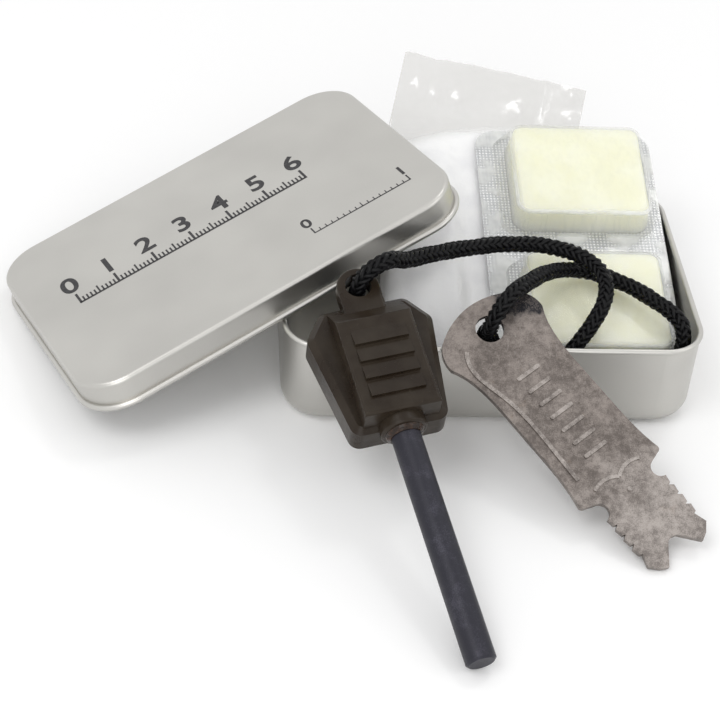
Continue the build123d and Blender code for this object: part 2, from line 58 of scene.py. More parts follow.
CORD_ROUTE: tuple[Point, ...] = (
    (-0.0315, -0.0244, 0.0327),
    (-0.0315, -0.0254, 0.0354),
    (-0.0299, -0.0254, 0.0382),
    (-0.0272, -0.0243, 0.0400),
    (-0.0241, -0.0222, 0.0399),
    (-0.0213, -0.0194, 0.0372),
    (-0.0146, -0.0136, 0.0350),
    (-0.0068, -0.0086, 0.0330),
    (0.0016, -0.0049, 0.0317),
    (0.0096, -0.0037, 0.0311),
    (0.0162, -0.0050, 0.0310),
    (0.0214, -0.0083, 0.0310),
    (0.0251, -0.0132, 0.0303),
    (0.0255, -0.0189, 0.0280),
    (0.0216, -0.0244, 0.0238),
    (0.0172, -0.0273, 0.0190),
    (0.0146, -0.0280, 0.0138),
    (0.0156, -0.0281, 0.0088),
    (0.0198, -0.0281, 0.0058),
    (0.0260, -0.0281, 0.0052),
    (0.0322, -0.0281, 0.0069),
    (0.0372, -0.0279, 0.0102),
    (0.0409, -0.0275, 0.0148),
    (0.0432, -0.0254, 0.0194),
    (0.0428, -0.0221, 0.0233),
    (0.0392, -0.0183, 0.0247),
    (0.0340, -0.0132, 0.0254),
    (0.0282, -0.0092, 0.0259),
    (0.0219, -0.0070, 0.0263),
    (0.0164, -0.0089, 0.0278),
    (0.0126, -0.0126, 0.0298),
    (0.0091, -0.0173, 0.0319),
    (0.0056, -0.0221, 0.0333),
    (0.0030, -0.0256, 0.0344),
    (0.0007, -0.0283, 0.0334),
    (-0.0012, -0.0298, 0.0310),
    (-0.0022, -0.0296, 0.0278),
    (-0.0022, -0.0284, 0.0253),
)


class Body(Enum):
    """The frame's bodies that new pieces ride on."""

    LID = "lid"
    LANYARD = "lanyard"
    BAG = "tinder_bag"


@dataclass(frozen=True)
class Socket:
    """A board's shader socket, which takes part in Python arithmetic."""

    board: "Board"
    socket: bpy.types.NodeSocket

    def _combine(self, operation: str, first: object, second: object) -> "Socket":
        """The result of one Math node on sockets or numbers."""
        inputs = {0: first, 1: second}
        return self.board.node("ShaderNodeMath", {"operation": operation}, inputs)

    def __add__(self, other: object) -> "Socket":
        """The sum."""
        return self._combine("ADD", self, other)

    __radd__ = __add__

    def __sub__(self, other: object) -> "Socket":
        """The difference."""
        return self._combine("SUBTRACT", self, other)

    def __rsub__(self, other: object) -> "Socket":
        """The difference from a number."""
        return self._combine("SUBTRACT", other, self)

    def __mul__(self, other: object) -> "Socket":
        """The product."""
        return self._combine("MULTIPLY", self, other)

    __rmul__ = __mul__

    def __abs__(self) -> "Socket":
        """The size without its sign."""
        return self._combine("ABSOLUTE", self, 0.0)

    def least(self, other: object) -> "Socket":
        """The smaller of two values."""
        return self._combine("MINIMUM", self, other)

    def most(self, other: object) -> "Socket":
        """The larger of two values."""
        return self._combine("MAXIMUM", self, other)

    def sine(self) -> "Socket":
        """The sine of an angle in radians."""
        return self._combine("SINE", self, 0.0)


@dataclass
class Board:
    """A tree of shader nodes."""

    tree: bpy.types.NodeTree

    def feed(self, target: bpy.types.NodeSocket, value: object) -> None:
        """Link a node's input to a socket, or set its value.

        Args:
            target: The input.
            value: A socket of this board, or the value.
        """
        if isinstance(value, Socket):
            self.tree.links.new(value.socket, target)
        else:
            target.default_value = value

    def node(self, kind: str, settings: dict, inputs: dict, output: int | str = 0) -> Socket:
        """Add a node.

        Args:
            kind: The node's type.
            settings: Attributes to set before its sockets.
            inputs: Values or sockets by input name or index.
            output: The output to return.

        Returns:
            The chosen output.
        """
        made = self.tree.nodes.new(kind)
        for key, value in settings.items():
            setattr(made, key, value)
        for key, value in inputs.items():
            self.feed(made.inputs[key], value)
        return Socket(self, made.outputs[output])


@dataclass(frozen=True)
class Grain:
    """One noise: its cells per metre, its octaves and how strong the finer ones are."""

    scale: float
    detail: float = 2.0
    rough: float = 0.5


class Bench(Board):
    """One material's node tree, with its Principled shader."""

    def __init__(self, name: str) -> None:
        """Start a material with a Principled shader joined to its output.

        Args:
            name: The material's name.
        """
        self.material = bpy.data.materials.new(name)
        self.material.use_nodes = True
        super().__init__(self.material.node_tree)
        self.shader = self.tree.nodes["Principled BSDF"]

    def vector(self, operation: str, first: Socket, second: Point, output: int | str = 0) -> Socket:
        """The result of one Vector Math node."""
        settings = {"operation": operation}
        return self.node("ShaderNodeVectorMath", settings, {0: first, 1: second}, output)

    def place(self) -> Socket:
        """The Object coordinates."""
        return self.node("ShaderNodeTexCoord", {}, {}, "Object")

    def stretched(self, factors: Point) -> Socket:
        """The Object coordinates, each times its own factor."""
        return self.vector("MULTIPLY", self.place(), factors)

    def dot(self, first: Socket, direction: Point) -> Socket:
        """The dot product of a vector with a direction."""
        return self.vector("DOT_PRODUCT", first, direction, "Value")

    def along(self, direction: Point, origin: Point = (0.0, 0.0, 0.0)) -> Socket:
        """Distance in metres from an origin along a unit direction of the row frame."""
        return self.dot(self.vector("SUBTRACT", self.place(), origin), direction)

    def noise(self, grain: Grain, at: Socket | None = None) -> Socket:
        """Noise from 0 to 1, at the Object coordinates if no others are given."""
        settings = {"Scale": grain.scale, "Detail": grain.detail, "Roughness": grain.rough}
        return self.node("ShaderNodeTexNoise", {}, {"Vector": at or self.place(), **settings})

    def step(self, value: Socket, low: float, high: float) -> Socket:
        """A smooth step from 0 at low to 1 at high."""
        inputs = {"Value": value, "From Min": low, "From Max": high}
        return self.node("ShaderNodeMapRange", {"interpolation_type": "SMOOTHSTEP"}, inputs)

    def blend(self, factor: Socket, first: object, second: object) -> Socket:
        """Two colours, mixed by the share of the second."""
        inputs = {0: factor, 6: first, 7: second}
        return self.node("ShaderNodeMix", {"data_type": "RGBA"}, inputs, 2)

    def bump(self, height: Socket, relief: Span, under: Socket | None = None) -> Socket:
        """A bumped normal.

        Args:
            height: The height, from 0 to 1.
            relief: The bumps' real depth in metres and the share that shows.
            under: A coarser bumped normal below this one.

        Returns:
            The normal.
        """
        inputs = {"Height": height, "Distance": relief[0], "Strength": relief[1]}
        if under is not None:
            inputs["Normal"] = under
        return self.node("ShaderNodeBump", {}, inputs)

    def set(self, **sockets: object) -> None:
        """Set or link the shader's inputs, named with underscores for spaces."""
        for key, value in sockets.items():
            self.feed(self.shader.inputs[key.replace("_", " ")], value)


@dataclass(frozen=True)
class Layer:
    """One noise of a finish: its share of colour and roughness, its bump's depth and strength."""

    grain: Grain
    share: float = 0.0
    rough: float = 0.0
    relief: Span | None = None


@dataclass(frozen=True)
class MixedFinish:
    """Two colours mixed by layers of noise, coarse ones first, which roughen and bump it too."""

    name: str
    low: Colour
    high: Colour
    span: Span
    layers: tuple[Layer, ...]
    roughness: float
    metallic: float = 0.0
    specular: float = 0.5
    others: tuple[tuple[str, object], ...] = ()

    def make(self) -> bpy.types.Material:
        """Put the finish together.

        Returns:
            The material.
        """
        bench = Bench(self.name)
        mixed, rough, normal = 0.0, self.roughness, None
        for layer in self.layers:
            grain = bench.noise(layer.grain)
            if layer.share:
                mixed = grain * layer.share + mixed
            if layer.rough:
                rough = grain * layer.rough + rough
            if layer.relief is not None:
                normal = bench.bump(grain, layer.relief, normal)
        bench.set(
            Base_Color=bench.blend(bench.step(mixed, *self.span), self.low, self.high),
            Roughness=rough,
            Metallic=self.metallic,
            Specular_IOR_Level=self.specular,
            **dict(self.others),
        )
        if normal is not None:
            bench.set(Normal=normal)
        return bench.material


TINPLATE = MixedFinish(
    "satin_tinplate",
    low=(0.50, 0.49, 0.465, 1.0),
    high=(0.57, 0.56, 0.53, 1.0),
    span=(0.3, 0.7),
    layers=(
        Layer(Grain(45.0), 0.6, 0.02),
        Layer(Grain(9000.0, 2.0, 0.6), 0.4, 0.10, (0.00001, 0.4)),
    ),
    roughness=0.29,
    metallic=1.0,
)

FERROCERIUM = MixedFinish(
    "ferrocerium",
    low=(0.013, 0.0125, 0.021, 1.0),
    high=(0.046, 0.044, 0.062, 1.0),
    span=(0.48, 0.70),
    layers=(
        Layer(Grain(300.0, 4.0, 0.6), 0.5),
        Layer(Grain(4200.0, 3.0, 0.7), 0.5, 0.16, (0.00005, 0.6)),
    ),
    roughness=0.36,
    metallic=0.3,
)

BROWN_GLUE = MixedFinish(
    "brown_glue",
    low=(0.016, 0.009, 0.006, 1.0),
    high=(0.045, 0.022, 0.012, 1.0),
    span=(0.35, 0.75),
    layers=(Layer(Grain(900.0), 1.0, 0.1, (0.0004, 0.7)),),
    roughness=0.10,
    specular=0.3,
)

BLACK_BRAID = MixedFinish(
    "black_braid",
    low=(0.003, 0.003, 0.0035, 1.0),
    high=(0.012, 0.012, 0.013, 1.0),
    span=(0.45, 0.8),
    layers=(Layer(Grain(11000.0, 2.0, 0.7), 1.0, 0.2, (0.00005, 0.6)),),
    roughness=0.28,
    specular=0.16,
)

IVORY_TINDER = MixedFinish(
    "ivory_tinder",
    low=(0.87, 0.86, 0.63, 1.0),
    high=(0.92, 0.915, 0.71, 1.0),
    span=(0.36, 0.64),
    layers=(
        Layer(Grain(120.0, 4.0, 0.6), 0.85, 0.0, (0.00005, 0.4)),
        Layer(Grain(2200.0, 2.0, 0.6), 0.15),
    ),
    roughness=0.5,
    others=(
        ("Subsurface_Weight", 0.8),
        ("Subsurface_Radius", (1.0, 0.95, 0.7)),
        ("Subsurface_Scale", 0.008),
    ),
)

COTTON_WOOL = MixedFinish(
    "cotton_wool",
    low=(0.90, 0.90, 0.91, 1.0),
    high=(0.97, 0.97, 0.97, 1.0),
    span=(0.3, 0.6),
    layers=(
        Layer(Grain(150.0, 5.0, 0.62), 1.0, 0.0, (0.0008, 0.4)),
        Layer(Grain(2600.0, 3.0, 0.7), 0.0, 0.0, (0.0001, 0.5)),
    ),
    roughness=0.95,
    specular=0.1,
)

PRINTING_INK = MixedFinish(
    "printing_ink",
    low=(0.012, 0.011, 0.013, 1.0),
    high=(0.040, 0.038, 0.040, 1.0),
    span=(0.35, 0.75),
    layers=(Layer(Grain(1500.0, 3.0), 1.0, 0.15),),
    roughness=0.45,
)


@dataclass(frozen=True)
class WornSteelFinish:
    """Mottled strip steel, sooty at its head, lighter towards its tip as a painted highlight on the
    blade and lighter on raised parts as wear with a painted highlight.
    """

    light: Colour = (0.285, 0.25, 0.228, 1.0)
    dark: Colour = (0.125, 0.107, 0.097, 1.0)
    bright: Colour = (0.52, 0.48, 0.45, 1.0)
    soot: Colour = (0.022, 0.022, 0.026, 1.0)
    rust: Colour = (0.24, 0.175, 0.125, 1.0)
    metallic: float = 0.85
    roughness: float = 0.30
    hole: Point = (-0.00216, -0.02847, 0.02546)
    mottle: Layer = Layer(Grain(620.0, 6.0, 0.7), 0.4, 0.20, (0.00008, 0.5))
    patches: Layer = Layer(Grain(130.0, 3.0, 0.55), 0.3)
    fine: Layer = Layer(Grain(4200.0, 3.0, 0.65), 0.3, 0.08, (0.00003, 0.5))
    spread_span: Span = (0.40, 0.61)
    rust_grain: Grain = Grain(210.0, 4.0, 0.6)
    rust_span: Span = (0.62, 0.78)
    rust_shown: float = 0.35
    scratch_grain: Grain = Grain(1500.0, 4.0, 0.8)
    scratch_stretch: Point = (1.0, 0.25, 0.5)
    scratch_span: Span = (0.58, 0.72)
    scratch_shown: float = 0.25
    towards_tip: Point = (0.6046, -0.7107, -0.3596)
    tip_wander: float = 0.03
    tip_span: Span = (0.034, 0.056)
    tip_painted_highlight: Span = (0.14, 0.40)
    outwards: Point = (0.0, -0.4515, 0.8923)
    raised_span: Span = (0.0008, 0.0009)
    raised_wear_and_highlight: Span = (0.10, 0.45)
    soot_upwards: Point = (0.30, 0.85, 0.43)
    soot_sideways: Point = (0.80, -0.54, -0.27)
    soot_middle: float = 0.0015
    soot_narrowing: float = 0.55
    soot_wander: float = 0.007
    soot_span: Span = (0.0036, 0.0058)
    soot_cover: Span = (0.72, 1.1)

    def make(self) -> bpy.types.Material:
        """Put the finish together.

        Returns:
            The material.
        """
        bench = Bench("worn_strip_steel")
        layers = (self.mottle, self.patches, self.fine)
        mottle, patches, fine = grains = [bench.noise(layer.grain) for layer in layers]
        mixed = sum(grain * layer.share for grain, layer in zip(grains, layers))
        spread = bench.step(mixed, *self.spread_span)
        rusty = bench.step(bench.noise(self.rust_grain), *self.rust_span)
        # Lighter towards the tip: a painted highlight on the blade.
        towards = bench.along(self.towards_tip, self.hole) + (patches - 0.5) * self.tip_wander
        tip = bench.step(towards, *self.tip_span)
        drawn = bench.stretched(self.scratch_stretch)
        scratches = bench.step(bench.noise(self.scratch_grain, drawn), *self.scratch_span)
        # Lighter on the raised parts: wear there and a painted highlight on the embossed lines.
        raised = bench.step(bench.along(self.outwards, self.hole), *self.raised_span)
        upwards = bench.along(self.soot_upwards, self.hole)
        sideways = abs(bench.along(self.soot_sideways, self.hole) - self.soot_middle)
        reach = upwards - sideways * self.soot_narrowing + (mottle - 0.5) * self.soot_wander
        sooty = bench.step(reach, *self.soot_span) * bench.step(fine + mottle, *self.soot_cover)
        tone = bench.blend(spread, self.dark, self.light)
        for share, colour in (
            (rusty * self.rust_shown, self.rust),
            (tip * (self.tip_painted_highlight[0] + spread * self.tip_painted_highlight[1]), self.bright),
            (scratches * self.scratch_shown, self.bright),
            (raised * (self.raised_wear_and_highlight[0] + spread * self.raised_wear_and_highlight[1]), self.bright),
            (sooty, self.soot),
        ):
            tone = bench.blend(share, tone, colour)
        bench.set(
            Base_Color=tone,
            Metallic=self.metallic,
            Roughness=self.roughness + mottle * self.mottle.rough + fine * self.fine.rough,
            Normal=bench.bump(fine, self.fine.relief, bench.bump(mottle, self.mottle.relief)),
        )
        return bench.material


@dataclass(frozen=True)
class MouldedFinish:
    """Dark brown moulded plastic, glossy, clouded and scuffed."""

    colour: Colour = (0.018, 0.0115, 0.0068, 1.0)
    scuff: Colour = (0.052, 0.042, 0.030, 1.0)
    specular: float = 0.2
    roughness: float = 0.22
    cloud: Layer = Layer(Grain(150.0, 3.0), 0.35, 0.14, (0.0005, 0.4))
    cloud_span: Span = (0.3, 0.7)
    grain: Layer = Layer(Grain(2400.0, 3.0, 0.6), relief=(0.00004, 0.4))
    marks: Layer = Layer(Grain(1100.0, 6.0, 0.78), 0.55, 0.22)
    marks_span: Span = (0.60, 0.70)

    def make(self) -> bpy.types.Material:
        """Put the finish together.

        Returns:
            The material.
        """
        bench = Bench("moulded_handle")
        cloud, grain = bench.noise(self.cloud.grain), bench.noise(self.grain.grain)
        marks = bench.step(bench.noise(self.marks.grain), *self.marks_span)
        clouded = bench.step(cloud, *self.cloud_span)
        scuffed = clouded * self.cloud.share + marks * self.marks.share
        bench.set(
            Base_Color=bench.blend(scuffed, self.colour, self.scuff),
            Roughness=self.roughness + cloud * self.cloud.rough + marks * self.marks.rough,
            Normal=bench.bump(grain, self.grain.relief, bench.bump(cloud, self.cloud.relief)),
            Specular_IOR_Level=self.specular,
        )
        return bench.material


@dataclass(frozen=True)
class FoilFinish:
    """Bright foil, pressed all over with a fine pattern of dots and crumpled a little, its dots and
    crumples lighter and darker as painted highlight and shade.
    """

    dull: Colour = (0.44, 0.45, 0.47, 1.0)
    bright: Colour = (0.97, 0.97, 0.98, 1.0)
    metallic: float = 0.75
    roughness: float = 0.28
    pitch: float = 0.0017
    dot_highlight_span: Span = (0.05, 0.65)
    dot_relief: Span = (0.0001, 0.6)
    crush: Layer = Layer(Grain(260.0, 3.0, 0.6), 0.9, 0.15, (0.0005, 0.6))
    crush_shift: Span = (0.0003, 0.0002)

    def make(self) -> bpy.types.Material:
        """Put the finish together.

        Returns:
            The material.
        """
        bench = Bench("pressed_foil")
        crush = bench.noise(self.crush.grain)
        across = bench.along(SIDEWAYS) + crush * self.crush_shift[0]
        up = bench.along(SLOPE_RISE) + crush * self.crush_shift[1]
        turn = 2.0 * math.pi / self.pitch
        cells = ((across + up) * turn).sine() * ((across - up) * turn).sine()
        # Lighter colour on the pressed dots and the crumples: painted highlights, with painted
        # shade between them.
        raised = bench.step(cells + (crush - 0.5) * self.crush.share, *self.dot_highlight_span)
        bench.set(
            Base_Color=bench.blend(raised, self.dull, self.bright),
            Metallic=self.metallic,
            Roughness=self.roughness + crush * self.crush.rough,
            Normal=bench.bump(cells, self.dot_relief, bench.bump(crush, self.crush.relief)),
        )
        return bench.material


@dataclass(frozen=True)
class ClearTrayFinish:
    """Clear formed plastic with whiter walls; streaks on the walls and whiter bands along its
    bends, its top shoulder and its flange are painted highlights.
    """

    colour: Colour = (0.94, 0.95, 0.93, 1.0)
    roughness: float = 0.08
    specular: float = 0.6
    foot: Point = (0.0, 0.030272, 0.026072)
    wall_foot: Span = (0.0003, 0.0008)
    wall_top: Span = (0.0071, 0.0075)
    wall_shown: Span = (0.17, 0.05)
    streak_stretch: Point = (1.0, 0.6, 0.12)
    streak_grain: Grain = Grain(900.0)
    streak_span: Span = (0.46, 0.66)
    shoulder_height: float = 0.0070
    shoulder_span: Span = (0.0001, 0.0006)
    shoulder_painted_highlight: Span = (0.10, 0.45)
    level_span: Span = (0.85, 0.985)
    bend_height: float = 0.0005
    bend_span: Span = (0.0001, 0.0007)
    bend_painted_highlight: float = 0.4
    flange_span: Span = (0.0002, 0.0006)
    flange_painted_highlight: Span = (0.08, 0.22)
    gleam_grain: Grain = Grain(150.0)
    gleam_span: Span = (0.34, 0.70)
    ripples: Layer = Layer(Grain(160.0), relief=(0.00003, 0.5))
    shown_span: Span = (0.03, 0.85)

    def make(self) -> bpy.types.Material:
        """Put the finish together.

        Returns:
            The material.
        """
        bench = Bench("clear_tray")
        height = bench.along(SLOPE_UP, self.foot)
        below_top = 1.0 - bench.step(height, *self.wall_top)
        wall = bench.step(height, *self.wall_foot) * below_top
        # Streaks stretched along the slope on the walls: painted highlight streaks.
        highlight_streaks = bench.noise(self.streak_grain, bench.stretched(self.streak_stretch))
        highlight_streaks = bench.step(highlight_streaks, *self.streak_span)
        # The gleam noise breaks up the painted highlights along the shoulder, the foot bend and the
        # flange.
        gleam = bench.step(bench.noise(self.gleam_grain), *self.gleam_span)
        shoulder = 1.0 - bench.step(abs(height - self.shoulder_height), *self.shoulder_span)
        facing = bench.node("ShaderNodeTexCoord", {}, {}, "Normal")
        turned = 1.0 - bench.step(abs(bench.dot(facing, SLOPE_UP)), *self.level_span)
        bend = 1.0 - bench.step(abs(height - self.bend_height), *self.bend_span)
        flange = 1.0 - bench.step(height, *self.flange_span)
        # Alpha over a near-white colour: the plastic's walls, plus painted highlight bands along
        # the shoulder, the foot bend and the flange.
        shown = (
            self.shown_span[0]
            + wall * (self.wall_shown[0] + highlight_streaks * self.wall_shown[1])
            + shoulder * turned * (self.shoulder_painted_highlight[0] + gleam * self.shoulder_painted_highlight[1])
            + bend * gleam * self.bend_painted_highlight
            + flange * (self.flange_painted_highlight[0] + gleam * self.flange_painted_highlight[1])
        )
        bench.set(
            Base_Color=self.colour,
            Roughness=self.roughness,
            Alpha=shown.least(self.shown_span[1]),
            Normal=bench.bump(bench.noise(self.ripples.grain), self.ripples.relief),
            Specular_IOR_Level=self.specular,
        )
        return bench.material


@dataclass(frozen=True)
class FilmFinish:
    """Clear film, almost unseen over the filling and soft grey where its two walls meet, with a
    painted sheen towards its grazing edges.
    """

    colour: Colour = (0.95, 0.95, 0.95, 1.0)
    doubled: Colour = (0.70, 0.69, 0.665, 1.0)
    roughness: float = 0.12
    specular: float = 1.0
    flat_from: Point = (0.0, 0.0465, 0.0280)
    flat_span: Span = (-0.0022, 0.0022)
    flat_shown: Span = (0.24, 0.16)
    corner_from: Point = (0.008, 0.0, 0.0)
    corner_bend: float = 11.0
    haze: Grain = Grain(70.0)
    edge_blend: float = 0.3
    edge_painted_sheen: float = 0.25
    shown_span: Span = (0.06, 0.9)
    ripples: Layer = Layer(Grain(260.0), relief=(0.0003, 0.5))

    def make(self) -> bpy.types.Material:
        """Put the finish together.

        Returns:
            The material.
        """
        bench = Bench("clear_film")
        haze = bench.noise(self.haze)
        corner = bench.along(SIDEWAYS, self.corner_from).least(0.0)
        reach = bench.along(SLOPE_RISE, self.flat_from) + corner * corner * self.corner_bend
        flat = bench.step(reach, *self.flat_span)
        # Alpha rises with the facing towards grazing edges: a painted sheen standing for the film's
        # reflection there.
        facing = bench.node("ShaderNodeLayerWeight", {}, {"Blend": self.edge_blend}, "Facing")
        shown = self.shown_span[0] + flat * (self.flat_shown[0] + haze * self.flat_shown[1])
        bench.set(
            Base_Color=bench.blend(flat, self.colour, self.doubled),
            Roughness=self.roughness,
            Alpha=(shown + facing * facing * self.edge_painted_sheen).least(self.shown_span[1]),
            Normal=bench.bump(bench.noise(self.ripples.grain), self.ripples.relief),
            Specular_IOR_Level=self.specular,
        )
        return bench.material


def dress(material: bpy.types.Material, *nodes: str) -> None:
    """Give carried-over nodes their material.

    Args:
        material: The finish.
        nodes: The CAD nodes' names.
    """
    for node in nodes:
        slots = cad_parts[node].data.materials
        slots.clear()
        slots.append(material)


def hold(piece: bpy.types.Object, body: Body) -> bpy.types.Object:
    """Let a piece ride on a body.

    Args:
        piece: The finished piece.
        body: The body that carries it.

    Returns:
        The piece.
    """
    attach(piece, body.value)
    return piece


def mesh_piece(
    name: str, shape: bmesh.types.BMesh, material: bpy.types.Material, smooth: bool = True
) -> bpy.types.Object:
    """Make an object of a finished bmesh and free it.

    Args:
        name: The piece's name.
        shape: The bmesh, in the row frame.
        material: Its finish.
        smooth: Whether its faces are shaded smooth.

    Returns:
        The object, at the origin.
    """
    for face in shape.faces:
        face.smooth = smooth
    data = bpy.data.meshes.new(name)
    shape.to_mesh(data)
    shape.free()
    data.materials.append(material)
    piece = bpy.data.objects.new(name, data)
    bpy.context.scene.collection.objects.link(piece)
    return piece


def curve_mesh(data: bpy.types.Curve) -> bpy.types.Mesh:
    """Turn curve or text data into a mesh and remove the curve.

    Args:
        data: The curve.

    Returns:
        Its mesh.
    """
    holder = bpy.data.objects.new(data.name, data)
    bpy.context.scene.collection.objects.link(holder)
    bpy.context.view_layer.update()
    made = bpy.data.meshes.new_from_object(holder)
    bpy.data.objects.remove(holder)
    bpy.data.curves.remove(data)
    return made


def soft_step(value: float, low: float, high: float) -> float:
    """A smooth step from 0 at low to 1 at high."""
    share = min(1.0, max(0.0, (value - low) / (high - low)))
    return share * share * (3.0 - 2.0 * share)


def signed_power(value: float, power: float) -> float:
    """A value's size to a power, with the value's sign."""
    return math.copysign(abs(value) ** power, value)


def route_line(route: tuple[Point, ...]) -> list[Vector]:
    """Points of the NURBS line of a route.

    Args:
        route: The line's control points.

    Returns:
        The line's own points.
    """
    data = bpy.data.curves.new("route", "CURVE")
    data.dimensions = "3D"
    line = data.splines.new("NURBS")
    line.points.add(len(route) - 1)
    for point, place in zip(line.points, route):
        point.co = (*place, 1.0)
    line.order_u = CORD_ORDER
    line.use_endpoint_u = True
    line.resolution_u = CORD_STEPS
    flat = curve_mesh(data)
    found = [vertex.co.copy() for vertex in flat.vertices]
    bpy.data.meshes.remove(flat)
    return found


@dataclass(frozen=True)
class Braid:
    """A round braid of crossing strands over a smooth core, drawn along a line."""

    diameter: float = 0.004
    strands: int = 6
    turn: float = 0.0102
    strand: float = 0.00056
    wave: float = 0.00030
    wave_phase: float = 0.5

    def build(
        self, name: str, line: list[Vector], material: bpy.types.Material
    ) -> bpy.types.Object:
        """The braid as one mesh.

        Args:
            name: The piece's name.
            line: The points of its centre line, in order.
            material: Its finish.

        Returns:
            The mesh object, at the origin.
        """
        last = len(line) - 1
        ahead = [line[min(i + 1, last)] - line[max(i - 1, 0)] for i in range(last + 1)]
        tangents = [way.normalized() for way in ahead]
        runs, sides = [0.0], [tangents[0].orthogonal().normalized()]
        for index in range(1, last + 1):
            runs.append(runs[-1] + (line[index] - line[index - 1]).length)
            across = sides[-1] - tangents[index] * sides[-1].dot(tangents[index])
            sides.append(across.normalized())
        frames = list(zip(line, tangents, sides, runs))
        crossing = self.turn / (2 * self.strands)
        middle = self.diameter / 2 - self.strand - self.wave
        data = bpy.data.curves.new(name, "CURVE")
        data.dimensions = "3D"
        data.bevel_depth = self.strand
        data.bevel_resolution = 0
        data.use_fill_caps = True
        for way in (1, -1):
            for strand in range(self.strands):
                spline = data.splines.new("POLY")
                spline.points.add(last)
                for point, (centre, tangent, across, run) in zip(spline.points, frames):
                    angle = 2 * math.pi * (way * run / self.turn + strand / self.strands)
                    phase = way * run / crossing + 2 * strand + self.wave_phase
                    reach = middle + way * self.wave * math.cos(math.pi / 2 * phase)
                    outward = across * math.cos(angle) + tangent.cross(across) * math.sin(angle)
                    point.co = (*(centre + outward * reach), 1.0)
        core = data.splines.new("POLY")
        core.points.add(last)
        for point, centre in zip(core.points, line):
            point.co = (*centre, 1.0)
            point.radius = middle / self.strand
        made = curve_mesh(data)
        shape = bmesh.new()
        shape.from_mesh(made)
        bpy.data.meshes.remove(made)
        return mesh_piece(name, shape, material)


@dataclass(frozen=True)
class Lanyard:
    """The braided cord with a stopper knot at each end."""

    braid: Braid = Braid()
    knot_braid: Braid = Braid(diameter=0.0030, turn=0.0072, strand=0.00038, wave=0.0002)
    finish: MixedFinish = BLACK_BRAID
    knot_reach: float = 0.0021
    knot_flatness: float = 0.62
    knot_steps: int = 96
    stub_steps: int = 24
    steel_knot_depth: float = 0.0063
    striker_knot_depth: float = 0.0048

    def knot_line(self, centre: Vector, axis: Vector) -> list[Vector]:
        """The line of a tight overhand knot.

        Args:
            centre: The middle of the knot.
            axis: The direction of the cord where it enters.

        Returns:
            Points along the knot's line.
        """
        side = axis.orthogonal().normalized()
        up = axis.cross(side)
        points = []
        for step in range(self.knot_steps + 1):
            t = 2 * math.pi * step / self.knot_steps
            x = (math.sin(t) + 2 * math.sin(2 * t)) / 3
            y = (math.cos(t) - 2 * math.cos(2 * t)) / 3
            z = -math.sin(3 * t) * self.knot_flatness
            points.append(centre + (side * x + up * y + axis * z) * self.knot_reach)
        return points

    def build(self) -> None:
        material = self.finish.make()
        line = route_line(CORD_ROUTE)
        cord = hold(self.braid.build("braided_cord", line, material), Body.LANYARD)
        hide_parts("cord")
        others = []
        for node, end, inner, depth in (
            ("knot_at_steel", line[0], line[1], self.steel_knot_depth),
            ("knot_at_striker", line[-1], line[-2], self.striker_knot_depth),
        ):
            away = (end - inner).normalized()
            centre = end + away * depth
            knot = self.knot_braid.build(node + "_tied", self.knot_line(centre, -away), material)
            steps = range(self.stub_steps + 1)
            stub_line = [end.lerp(centre, step / self.stub_steps) for step in steps]
            stub = self.braid.build(node + "_stub", stub_line, material)
            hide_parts(node)
            others += [hold(knot, Body.LANYARD), hold(stub, Body.LANYARD)]


@dataclass(frozen=True)
class Rule:
    """A printed scale: the foot of its zero line, its unit, the parts in a unit and its type."""

    start: Span
    unit: float
    parts: int
    count: int
    height: float
    line_share: float = 0.07
    thin_share: float = 0.7
    whole_share: float = 0.46
    half_share: float = 0.34
    part_share: float = 0.22
    figure_share: float = 0.62
    weight_share: float = 0.022

    def tick(self, step: int) -> Span:
        """The width and the length of a line of the scale.

        Args:
            step: The line's number, counted from the zero line.

        Returns:
            Its width and its length.
        """
        line = self.height * self.line_share
        if step % self.parts == 0:
            return line, self.height * self.whole_share
        half = 2 * step % self.parts == 0
        return line * self.thin_share, self.height * (self.half_share if half else self.part_share)


